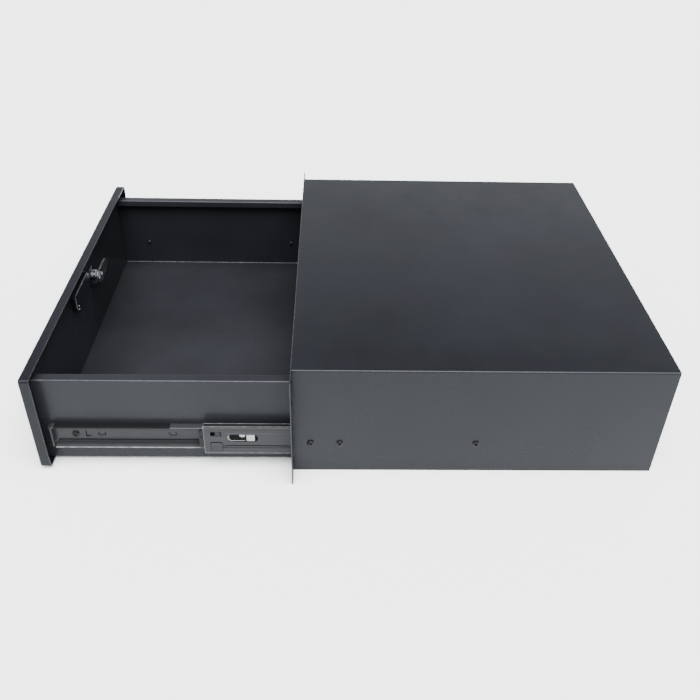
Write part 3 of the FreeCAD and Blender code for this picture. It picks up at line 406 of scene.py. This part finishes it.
# Painted light on the rails: each line is a painted highlight along a lip or ledge. Each bead is
# pressed and darkened inside as painted shade, and the top beads, at z 0.0562 on the middle rail
# and 0.0512 on the drawer rail, are painted dark bands that dim the lips' highlights.
RAIL_MARKS = (
    ("case_rail", [], []),
    ("middle_rail",
     [(0.2104, 0.0565, 0.0015, 1.0), (0.2165, 0.0553, 0.0006, 0.25),
      (0.2165, 0.0212, 0.0006, 0.25)],
     [(0.0306, 0.0006, -0.075, 0.25), (0.0282, 0.0006, -0.075, 0.25),
      (0.0472, 0.0003, -0.070, 0.25), (0.0562, 0.0009, -0.09, 0.25)]),
    ("drawer_rail",
     [(0.2143, 0.0250, 0.0014, 0.8), (0.2112, 0.0262, 0.0020, 0.06)],
     [(0.0304, 0.0012, -0.243, 0.09), (0.0512, 0.0024, -0.244, -0.125)]))
for sign, side in SIDES:
    for node, lines, beads in RAIL_MARKS:
        name = f"{node}_{side}"
        dress(name, finish(name + "_zinc", RAIL, RAIL_WORN_AND_HIGHLIGHT, *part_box(name), drift_scale=40,
                           grain=900, grain_depth=0.05, stretch=ROLLED, rub_and_highlight_width=0.0004,
                           beads=beads, lines=[(sign * x, *rest) for x, *rest in lines],
                           **ZINC))
    for node in ("outer_cage", "inner_cage"):
        name = f"{node}_{side}"
        dress(name, finish(name + "_steel", (0.42, 0.42, 0.43), (0.7, 0.7, 0.7), *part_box(name),
                           roughness=(0.16, 0.28), metallic=1.0, gloss=0.5,
                           stretch=(1, 0.1, 1)))
    name = f"rear_bumper_{side}"
    dress(name, finish(name + "_rubber", (0.02, 0.02, 0.021), (0.07, 0.07, 0.07), *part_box(name),
                       roughness=(0.55, 0.7), grain=700, grain_depth=0.3))

# Balls. Ground steel balls, one row above and one below in each cage. Each is a grid of
# latitude and longitude about the place of the ball it stands for.
BALL_RADIUS = 0.0016
POLE_GAP = 0.02
LATITUDES, LONGITUDES = 13, 20


def ball(centre):
    """A sphere: rings of the radius times the sine of the polar angle, at heights of minus the
    radius times its cosine, closed by a point-like ring at each pole."""
    polar = np.linspace(POLE_GAP, np.pi - POLE_GAP, LATITUDES)
    rings = [round_of(BALL_RADIUS * np.sin(angle), LONGITUDES) for angle in polar]
    return stack(rings, -BALL_RADIUS * np.cos(polar), centre, (1, 0, 0), (0, 1, 0), (0, 0, 1))


def shell_middles(node):
    """The middle of each ball of a node. Its vertices fall in an upper and a lower row, and a
    step of more than a ball's width along Y parts one ball from the next."""
    corners = np.array([v.co for v in nodes[node].data.vertices])
    middles = []
    for row in (corners[corners[:, 2] > corners[:, 2].mean()],
                corners[corners[:, 2] <= corners[:, 2].mean()]):
        order = row[np.argsort(row[:, 1])]
        breaks = np.nonzero(np.diff(order[:, 1]) > 2 * BALL_RADIUS)[0] + 1
        middles += [(group.min(0) + group.max(0)) / 2 for group in np.split(order, breaks)]
    return middles


for side in ("right", "left"):
    for cage in ("outer", "inner"):
        node = f"{cage}_balls_{side}"
        make(node + "_ground", [ball(middle) for middle in shell_middles(node)],
             f"{cage}_cage_{side}_body",
             lambda low, high: finish(node + "_steel", (0.62, 0.62, 0.63), (0.7, 0.7, 0.7), low,
                                      high, roughness=(0.06, 0.12), metallic=1.0, gloss=0.5,
                                      grain_depth=0.01), (node,))

# Slide screws. Pan-head screws with a cross recess, zinc-plated black: three through each side
# of the case into the case rail, and three through each drawer rail into the tray.
HEAD_RADIUS = 0.00346
HEAD_ROWS, HEAD_COUNT = 15, 48
CROSS_TURN, CROSS_HALF, CROSS_REACH, CROSS_SLOPE = 0.4, 0.13, 0.52, 0.10
HEAD_FALL, CROSS_SHARE, HEAD_MIDDLE = 0.45, 0.62, 0.38
CREST, ROOT, POINT = 0.00195, 0.00165, 0.0012
THREAD_STEP, POINT_LENGTH = 0.00035, 4e-4
RAIL_SCREW_HEIGHT = 0.0385


def screw(centre, out, head_base, head_top, tip):
    """A pan head and its shank along X. The head is a polar grid: its height falls from the
    middle as the fourth power of the radius, and the cross, where the distance from either of
    two bars is small, is pressed into it. The shank's radius saws up and down by the thread."""
    count = HEAD_COUNT
    share = np.linspace(0.0, 1.0, HEAD_ROWS)
    angle = np.linspace(0, 2 * np.pi, count, endpoint=False)
    share_grid, angle_grid = np.meshgrid(share[1:], angle, indexing="ij")
    u = np.abs(share_grid * np.cos(angle_grid + CROSS_TURN))
    v = np.abs(share_grid * np.sin(angle_grid + CROSS_TURN))
    bar = np.minimum(np.maximum(u - CROSS_HALF, v - CROSS_REACH),
                     np.maximum(v - CROSS_HALF, u - CROSS_REACH))
    cross = np.clip(0.5 - bar / CROSS_SLOPE, 0, 1)
    tall = head_top - head_base
    height = tall * (1 - HEAD_FALL * share_grid ** 4 - CROSS_SHARE * cross)
    y = HEAD_RADIUS * share_grid * np.cos(angle_grid)
    z = HEAD_RADIUS * share_grid * np.sin(angle_grid)
    crown = np.stack([head_base + height, y, z], -1)
    skirt = crown[-1:].copy()
    skirt[..., 0] = head_base
    shank_levels = np.arange(head_base - 1e-4, tip + POINT_LENGTH, -THREAD_STEP)
    shank = []
    for index, level in enumerate(np.append(shank_levels, tip)):
        radius = (CREST, ROOT)[index % 2] if level > tip + POINT_LENGTH else POINT
        shank.append(np.stack([np.full(count, level), radius * np.cos(angle),
                               radius * np.sin(angle)], -1))
    rings = np.concatenate([crown, skirt, np.array(shank)])
    middle = np.array([[head_base + tall * HEAD_MIDDLE, 0, 0], [tip, 0, 0]])
    points = np.concatenate([rings.reshape(-1, 3), middle]) * (out, 1, 1) + (0, *centre)
    near = np.arange(count)
    far = (near + 1) % count
    start = (np.arange(len(rings) - 1) * count)[:, None]
    faces = np.stack([start + near, start + far, start + count + far, start + count + near],
                     -1).reshape(-1, 4).tolist()
    last, top = (len(rings) - 1) * count, len(rings) * count
    faces += [(top, a, b) for a, b in zip(near.tolist(), far.tolist())]
    faces += [(top + 1, last + b, last + a) for a, b in zip(near.tolist(), far.tolist())]
    return points, faces


def screw_finish(name):
    """A function of the box's corners that makes the black zinc finish of the screws."""
    return lambda low, high: finish(name, (0.007, 0.007, 0.0075), (0.12, 0.12, 0.12), low, high,
                                    metallic=0.15, roughness=(0.20, 0.30), rub_and_highlight_width=0.0004,
                                    drift_scale=300, grain=2500)


for node, body, places in (("case_screws", "case", (0.0188, 0.0488, 0.190)),
                           ("tray_screws", "drawer", (-0.224, -0.019, 0.069))):
    across = np.array([v.co for v in nodes[node].data.vertices])[:, 0]
    tip, head_base, head_top = np.unique(np.abs(across).round(6))
    make(node + "_cross", [screw((place, RAIL_SCREW_HEIGHT), out, head_base, head_top, tip)
                           for place in places for out in (1, -1)], body,
         screw_finish(node + "_zinc"), (node,))

# Slide latch. A white nylon lever that lies in the long slot of the middle rail, over a
# near-black pocket that is painted shade: its round end, a half-round catch and a square pad
# show in the slot.
SHADOWED = dict(gloss=0.04, roughness=(0.6, 0.7))
POCKET_LEVELS = (0, 0.0003, 0.0006, 0.0009)
END_RADIUS, END_WIDTH, END_TIP = 0.0049, 0.0017, 0.0001
slot_y, slot_z, half_y, half_z = -0.051, 0.041, 0.0160, 0.0050


def facing(sign):
    """The directions of an outline and its levels on one slide: along Y, up, and outwards."""
    return (0, 1, 0), (0, 0, 1), (sign, 0, 0)


for sign, side in SIDES:
    low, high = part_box(f"slide_latch_{side}")
    inner = low.x if sign > 0 else high.x
    back = stack([rounded(0.019, 0.008, 0.0075, i) for i in (0.0004, 0, 0, 0.0004)],
                 POCKET_LEVELS, (inner, slot_y, slot_z), *facing(sign))
    make(f"latch_shade_pocket_{side}", [back], f"middle_{side}",
         lambda low, high: finish(f"latch_shade_pocket_{side}_plastic", (0.004, 0.004, 0.0042),
                                  (0.008, 0.008, 0.008), low, high, **SHADOWED))
    floor_x = inner + sign * POCKET_LEVELS[-1]
    pad = stack([rounded(0.0042, 0.0042, 0.0006, i) for i in (0.0, 0.0, 0.0003, 0.0006)],
                (0, 0.0012, 0.0014, 0.0015), (floor_x, slot_y + 0.0081, slot_z),
                *facing(sign))
    catch = rounded(0.0031, 0.0035, 0.0030)
    catch[:, 1] = np.minimum(catch[:, 1], 0)
    catch_rings = [catch, catch, catch * 0.9, catch * 0.8]
    half_disc = stack(catch_rings, (0, 0.0010, 0.0013, 0.0014),
                      (floor_x, slot_y - 0.0004, slot_z + 0.0044), *facing(sign))
    end_turn = np.linspace(np.pi / 2, 3 * np.pi / 2 + 0.45, 22)
    wide = np.interp(end_turn, (end_turn[0], np.pi, end_turn[-1]), (END_TIP, END_WIDTH, END_TIP))
    turned = np.stack([np.cos(end_turn), np.sin(end_turn)], 1)
    crescent = np.concatenate([turned * END_RADIUS,
                               (turned * (END_RADIUS - wide)[:, None])[::-1]])
    round_end = stack([crescent, crescent], (0, 0.0004),
                      (floor_x, slot_y - half_y + half_z, slot_z), *facing(sign))
    rail_line = stack([rounded(0.0064, 0.0002, 0.0001)] * 2, (0, 0.0004),
                      (floor_x, slot_y - 0.0043, slot_z - 0.0044), *facing(sign))
    make(f"latch_lever_{side}", [pad, half_disc, round_end, rail_line], f"middle_{side}",
         lambda low, high: finish(f"latch_lever_{side}_nylon", (0.27, 0.27, 0.265),
                                  (0.34, 0.34, 0.335), low, high, roughness=(0.35, 0.45),
                                  drift=0.06, drift_scale=200, gloss=0.3),
         (f"slide_latch_{side}",))

# Rail fittings. A moulded stop with an eyelet on the middle rail's front end, a pressed catch
# button, a bent tongue in its window and two long pressed ribs behind them, and a folded
# bracket on the drawer rail's front end.
CATCH_Y, CATCH_Z = -0.0783, 0.0292
TONGUE_Y, TONGUE_Z, TONGUE_LEAN = -0.0768, 0.0455, 0.12
RIBS = ((0.0294, 0.0005, 0.00032), (0.0472, 0.0004, 0.00018))
RIB_LEVELS = (-0.0700, -0.0695, -0.0685, 0.2435, 0.2445, 0.2450)
RIB_ENDS = (0.05, 0.6, 1, 1, 0.6, 0.05)
BRACKET_PATH = ((0.0003, 0.0034), (0.0003, 0.0008), (0.0010, 0.0001), (0.0062, 0.0003),
                (0.0070, 0.0010), (0.0064, 0.0024))
BRACKET_HALF = 0.0005
for sign, side in SIDES:
    low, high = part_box(f"front_stop_{side}")
    outer = high.x if sign > 0 else -low.x
    deep = high.x - low.x
    middle = (low + high) / 2
    half_y, half_z = (high.y - low.y) / 2, (high.z - low.z) / 2
    block = stack([rounded(half_y, half_z, 0.0019, i) for i in (0.0005, 0, 0, 0.0003, 0.0009)],
                  (0, 0.0005, deep - 0.0008, deep - 0.0002, deep),
                  (sign * (outer - deep), middle.y, middle.z), *facing(sign))
    eyelet = stack([round_of(r, 24) for r in (0.0014, 0.0014, 0.0011, 0.0008, 0.0007, 0.0007)],
                   (0, 0.0002, 0.00035, 0.0003, 0.0001, 0.0),
                   (sign * outer, middle.y + 0.0002, middle.z + 0.004), *facing(sign))
    make(f"front_stop_{side}_moulded", [block, eyelet], f"middle_{side}",
         lambda low, high: finish(f"front_stop_{side}_plastic", (0.010, 0.010, 0.011),
                                  (0.10, 0.10, 0.10), low, high, roughness=(0.42, 0.52), gloss=0.1,
                                  rub_and_highlight_width=0.0006, grain=800),
         (f"front_stop_{side}",))
    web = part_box(f"middle_rail_{side}")[1 if sign > 0 else 0].x
    button = stack([rounded(0.0054, 0.0049, 0.0010, i) for i in (0.0, 0.0, 0.0003, 0.0008)],
                   (-0.0002, 0.0004, 0.0006, 0.0007), (web, CATCH_Y, CATCH_Z), *facing(sign))
    make(f"catch_button_{side}", [button], f"middle_{side}",
         lambda low, high: finish(f"catch_button_{side}_steel", (0.020, 0.020, 0.022),
                                  (0.08, 0.08, 0.08), low, high, roughness=(0.38, 0.5),
                                  gloss=0.1, rub_and_highlight_width=0.0008))
    # Painted shadow: a thin near-black ring around the button stands for the shade in its recess.
    border = stack([rounded(0.0062, 0.0057, 0.0014)] * 2, (-0.0002, 0.0001),
                   (web, CATCH_Y, CATCH_Z), *facing(sign))
    make(f"catch_recess_{side}", [border], f"middle_{side}",
         lambda low, high: finish(f"catch_recess_{side}_shadow", (0.003, 0.003, 0.0033),
                                  (0.01, 0.01, 0.01), low, high, **SHADOWED))
    tongue = stack([rounded(0.0028, 0.0026, 0.0008, i) for i in (0.0004, 0, 0, 0.0004)],
                   (-0.0026, -0.0022, -0.0015, -0.0011),
                   (web, TONGUE_Y, TONGUE_Z), (0, 1, 0), (-sign * TONGUE_LEAN, 0, 1),
                   (sign, 0, TONGUE_LEAN))
    make(f"window_tongue_{side}", [tongue], f"middle_{side}",
         lambda low, high: finish(f"window_tongue_{side}_zinc", RAIL, RAIL_WORN_AND_HIGHLIGHT, low, high,
                                  rub_and_highlight_width=0.0005, **ZINC))
    ribs = []
    for rise, half, proud in RIBS:
        arc = np.linspace(0, np.pi, 9)
        rib = np.stack([-half * np.cos(arc), proud * np.sin(arc)], 1)
        ends = np.array(RIB_ENDS)[:, None, None]
        ribs.append(stack(rib * ends, RIB_LEVELS, (web, 0, rise), (0, 0, 1), (sign, 0, 0),
                          (0, 1, 0)))
    make(f"rail_ribs_{side}", ribs, f"middle_{side}",
         lambda low, high: finish(f"rail_ribs_{side}_zinc", RAIL, RAIL_WORN_AND_HIGHLIGHT, low, high,
                                  stretch=ROLLED, rub_and_highlight=0.3, rub_and_highlight_width=0.0003, **ZINC))
    low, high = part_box(f"drawer_rail_{side}")
    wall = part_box("tray_body")[1].x
    path = np.array(BRACKET_PATH)
    way = np.gradient(path, axis=0)
    way /= np.linalg.norm(way, axis=1)[:, None]
    side_step = np.stack([way[:, 1], -way[:, 0]], 1) * BRACKET_HALF
    strip = np.concatenate([path + side_step, (path - side_step)[::-1]])
    bracket = stack([strip] * 4, (0.0262, 0.0270, 0.0500, 0.0508),
                    (sign * (wall + 0.0004), low.y - 0.0035, 0), (sign, 0, 0), (0, 1, 0),
                    (0, 0, 1))
    make(f"rail_bracket_{side}", [bracket], "drawer",
         lambda low, high: finish(f"rail_bracket_{side}_zinc", RAIL, RAIL_WORN_AND_HIGHLIGHT, low, high,
                                  rub_and_highlight=0.2, rub_and_highlight_width=0.0006, stretch=(1, 1, 0.1), **ZINC))

# Lock. A chromed cam lock: a threaded barrel through the front, a hexagonal ring nut behind
# it, and a flat cam held on the plug's square tail by a hexagon nut and a washer.
axis_x, axis_z = -0.033, 0.083
LOCK_FRAME = ((1, 0, 0), (0, 0, 1), (0, 1, 0))
LOCK_COUNT = 40
BARREL_FRONT = ((0.0, 0.93), (0.0003, 0.98), (0.0008, 1.0), (0.0022, 1.0), (0.0026, 0.97))
THREAD_START, THREAD_END, THREAD_RISE = 0.0030, 0.0006, 0.00045
THREAD_CREST, THREAD_ROOT = 0.90, 0.84


def chrome(name, colour=(0.62, 0.62, 0.63), roughness=(0.08, 0.18)):
    """A function of the box's corners that makes a polished or plated finish, its edges turned
    near-white as painted highlight.
    """
    return lambda low, high: finish(name, colour, (0.9, 0.9, 0.9), low, high, metallic=1.0,
                                    roughness=roughness, gloss=0.5, grain_depth=0.04,
                                    rub_and_highlight_width=0.0006, drift_scale=90)


def hexagon(across, inset):
    """A hexagon, each side divided in six, drawn in by inset towards its middle."""
    corner = round_of((across / 2 - inset) / np.cos(np.pi / 6), 6)
    share = np.arange(6)[:, None] / 6
    following = np.roll(corner, -1, axis=0)
    return (corner[:, None] * (1 - share) + following[:, None] * share).reshape(-1, 2)


low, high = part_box("lock_housing")
radius = (high.x - low.x) / 2
deep = high.y - low.y
rings, levels = [], []
for place, size in BARREL_FRONT:
    rings.append(round_of(radius * size, LOCK_COUNT))
    levels.append(place)
for index, place in enumerate(np.arange(THREAD_START, deep - THREAD_END, THREAD_RISE)):
    size = (THREAD_CREST, THREAD_ROOT)[index % 2]
    rings.append(round_of(radius * size, LOCK_COUNT)[:, ::-1])
    levels.append(place)
rings += [round_of(radius * size, LOCK_COUNT)[:, ::-1] for size in (0.80, 0.68)]
levels += [deep - 0.0004, deep]
make("lock_barrel", [stack(rings, levels, (axis_x, low.y, axis_z), *LOCK_FRAME)], "drawer",
     chrome("lock_barrel_chrome", (0.36, 0.36, 0.37), (0.10, 0.20)), ("lock_housing",))

low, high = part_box("lock_nut")
across = high.z - low.z
deep = high.y - low.y
rings = [hexagon(across, i) for i in (0.0006, 0.0, 0.0, 0.0006)]
make("lock_ring_nut", [stack(rings, (0, 0.0005, deep - 0.0005, deep),
                             (axis_x, low.y, axis_z), *LOCK_FRAME)], "drawer",
     chrome("lock_ring_nut_zinc", (0.07, 0.07, 0.072), (0.3, 0.42)), ("lock_nut",))

low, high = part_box("cam_nut")
across = high.z - low.z
deep = high.y - low.y
washer = stack([round_of(r, LOCK_COUNT) for r in (0.0066, 0.0070, 0.0070, 0.0066)],
               (0.0001, 0.0002, 0.0007, 0.0008), (axis_x, low.y, axis_z), *LOCK_FRAME)
rings = [hexagon(across, i) for i in (0.0004, 0.0, 0.0, 0.0008)]
nut = stack(rings, (0.0008, 0.0010, deep - 0.0008, deep - 0.0002), (axis_x, low.y, axis_z),
            *LOCK_FRAME)
make("cam_nut_and_washer", [washer, nut], "lock", chrome("cam_nut_chrome"), ("cam_nut",))

# Painted highlight: the plug's and cam's edges turn near-white.
for node, colour, rough in (("lock_plug", (0.55, 0.55, 0.56), (0.12, 0.22)),
                            ("lock_cam", (0.20, 0.20, 0.21), (0.28, 0.40))):
    dress(node, finish(node + "_chrome", colour, (0.9, 0.9, 0.9), *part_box(node), metallic=1.0,
                       roughness=rough, gloss=0.5, grain_depth=0.04, rub_and_highlight=1.2,
                       rub_and_highlight_width=0.0012, drift_scale=90))
